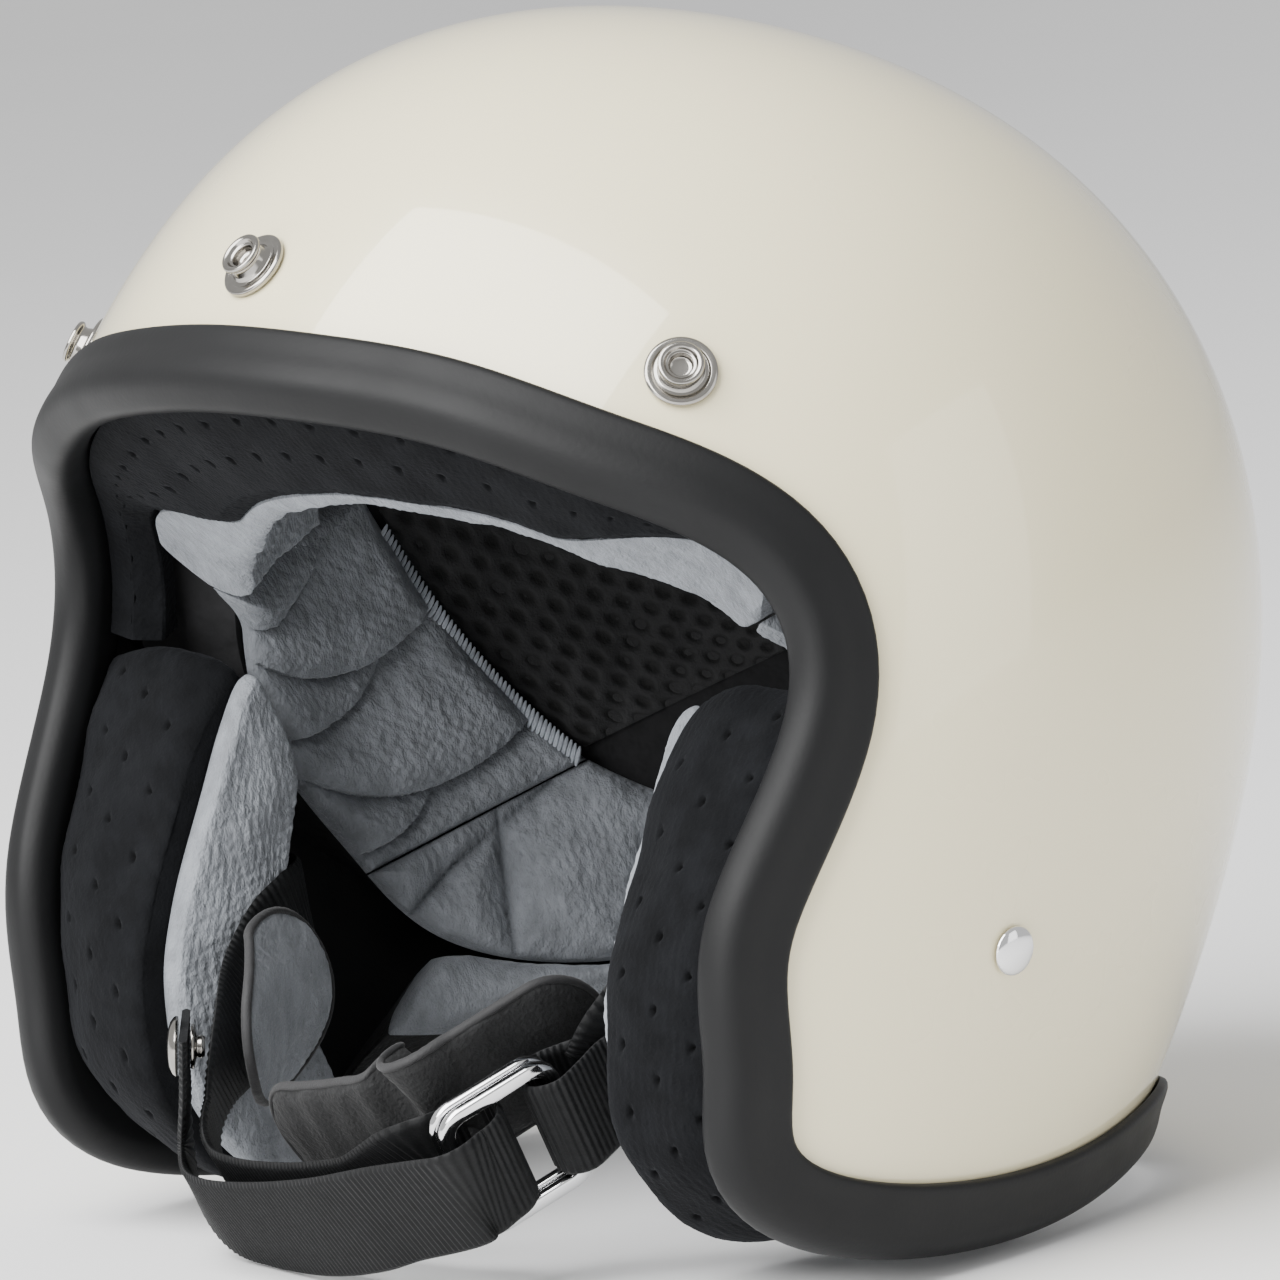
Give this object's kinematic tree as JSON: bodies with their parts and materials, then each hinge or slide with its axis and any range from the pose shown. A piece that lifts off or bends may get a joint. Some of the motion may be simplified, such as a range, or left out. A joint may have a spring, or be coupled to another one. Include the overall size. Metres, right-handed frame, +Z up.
{
  "type": "open face motorcycle helmet",
  "caption": "Open face motorcycle helmet with gloss shell, rubber rim trim, quilted fleece lining, cheek pads, brow snap studs and a chin strap with double D-ring buckle.",
  "frame": {"origin": "middle of the bounding box on the standing plane, under the helmet as it stands on its rubber rim trim", "axes": "+X is the wearer's left, +Y is towards the back of the helmet, +Z is up; the crown axis leans back by 25 degrees from +Z"},
  "size_m": [0.25, 0.2304, 0.2412],
  "materials": {
    "ivory_gloss": "gloss clear coat",
    "black_rubber": "satin",
    "black_foam": "matt beaded foam",
    "black_suede": "perforated microsuede",
    "grey_fleece": "brushed fleece",
    "black_mesh": "open knit mesh",
    "black_webbing": "ribbed webbing",
    "nickel": "polished nickel plate",
    "chrome": "polished",
    "zinc_steel": "zinc plate",
    "black_plastic": "matt"
  },
  "bodies": {
    "helmet": {"shell": "ivory_gloss", "edge_trim": "black_rubber", "eps_liner": "black_foam", "brow_band": "black_suede", "forehead_liner": "grey_fleece", "side_liner_left": "grey_fleece", "side_liner_right": "grey_fleece", "rear_liner": "grey_fleece", "crown_mesh": "black_mesh", "neck_roll": "grey_fleece", "cheek_backing_left": "black_plastic", "cheek_backing_right": "black_plastic", "cheek_pad_left": "black_suede", "cheek_pad_right": "black_suede", "cheek_fleece_left": "grey_fleece", "cheek_fleece_right": "grey_fleece", "snap_stud_left": "nickel", "snap_stud_centre": "nickel", "snap_stud_right": "nickel", "snap_washer_left": "zinc_steel", "snap_washer_centre": "zinc_steel", "snap_washer_right": "zinc_steel", "rivet_left": "chrome", "rivet_right": "chrome"},
    "chin_strap": {"strap_anchor_left": "zinc_steel", "strap_anchor_right": "zinc_steel", "strap_long": "black_webbing", "strap_short": "black_webbing", "strap_sleeve": "grey_fleece", "chin_flap": "black_suede"},
    "tail": {"strap_tail": "black_webbing", "tail_snap_cap": "nickel", "tail_snap_stud": "nickel"},
    "ring_outer": {"d_ring_outer": "chrome"},
    "ring_inner": {"d_ring_inner": "chrome"}
  },
  "joints": [
    {"name": "strap_swing", "type": "hinge", "parent": "helmet", "child": "chin_strap", "pos_m": [0, -0.02471, 0.06326], "axis": [1, 0, 0], "range_deg": [-35, 0]},
    {"name": "tail_lift", "type": "hinge", "parent": "chin_strap", "child": "tail", "pos_m": [0.0374, -0.09693, 0.02523], "axis": [0.2452, -0.5203, 0.818], "range_deg": [0, 18]},
    {"name": "outer_ring_turn", "type": "hinge", "parent": "chin_strap", "child": "ring_outer", "pos_m": [0.0466, -0.07727, 0.03497], "axis": [0.2452, -0.5203, 0.818], "range_deg": [0, 5]},
    {"name": "inner_ring_turn", "type": "hinge", "parent": "chin_strap", "child": "ring_inner", "pos_m": [0.0466, -0.07727, 0.03497], "axis": [0.2452, -0.5203, 0.818], "range_deg": [-3, 0]}
  ]
}
